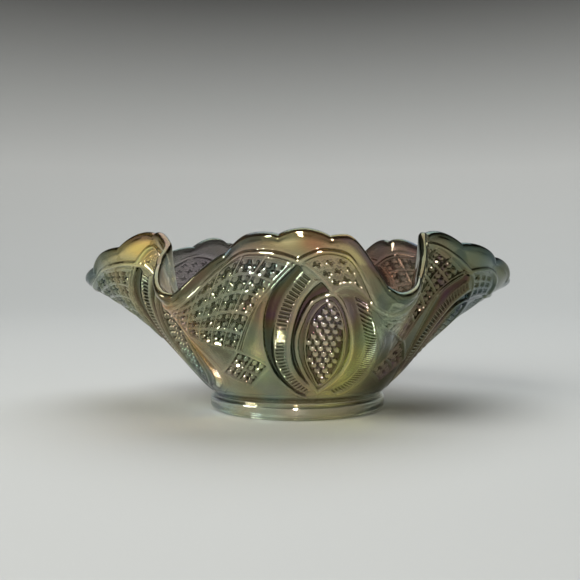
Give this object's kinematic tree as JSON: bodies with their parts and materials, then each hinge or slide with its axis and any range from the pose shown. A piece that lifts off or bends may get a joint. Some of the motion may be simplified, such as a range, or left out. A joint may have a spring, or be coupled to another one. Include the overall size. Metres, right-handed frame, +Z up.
{
  "type": "ruffled glass bowl",
  "caption": "Smoke-tinted pressed glass bowl with an iridescent sheen, crimped scalloped rim, patterned outside and round collar foot, for fruit or display",
  "frame": {"origin": "centre of the foot ring, on the plane the bowl stands on", "axes": "+Z up along the foot ring's axis; the crest over the front medallion faces -Y; +X to the right of someone facing the bowl from the front"},
  "size_m": [0.2325, 0.1962, 0.0915],
  "materials": {
    "smoke_glass": "glossy"
  },
  "bodies": {
    "root": {"collar_foot": "smoke_glass", "bowl_floor": "smoke_glass", "lower_wall": "smoke_glass", "fluted_wall": "smoke_glass", "rim_band": "smoke_glass", "medallion_frames": "smoke_glass", "file_bars": "smoke_glass", "cane_buttons": "smoke_glass", "arch_ribs": "smoke_glass", "strap_ribs": "smoke_glass", "fan_blocks": "smoke_glass", "diamond_blocks": "smoke_glass"}
  },
  "joints": []
}
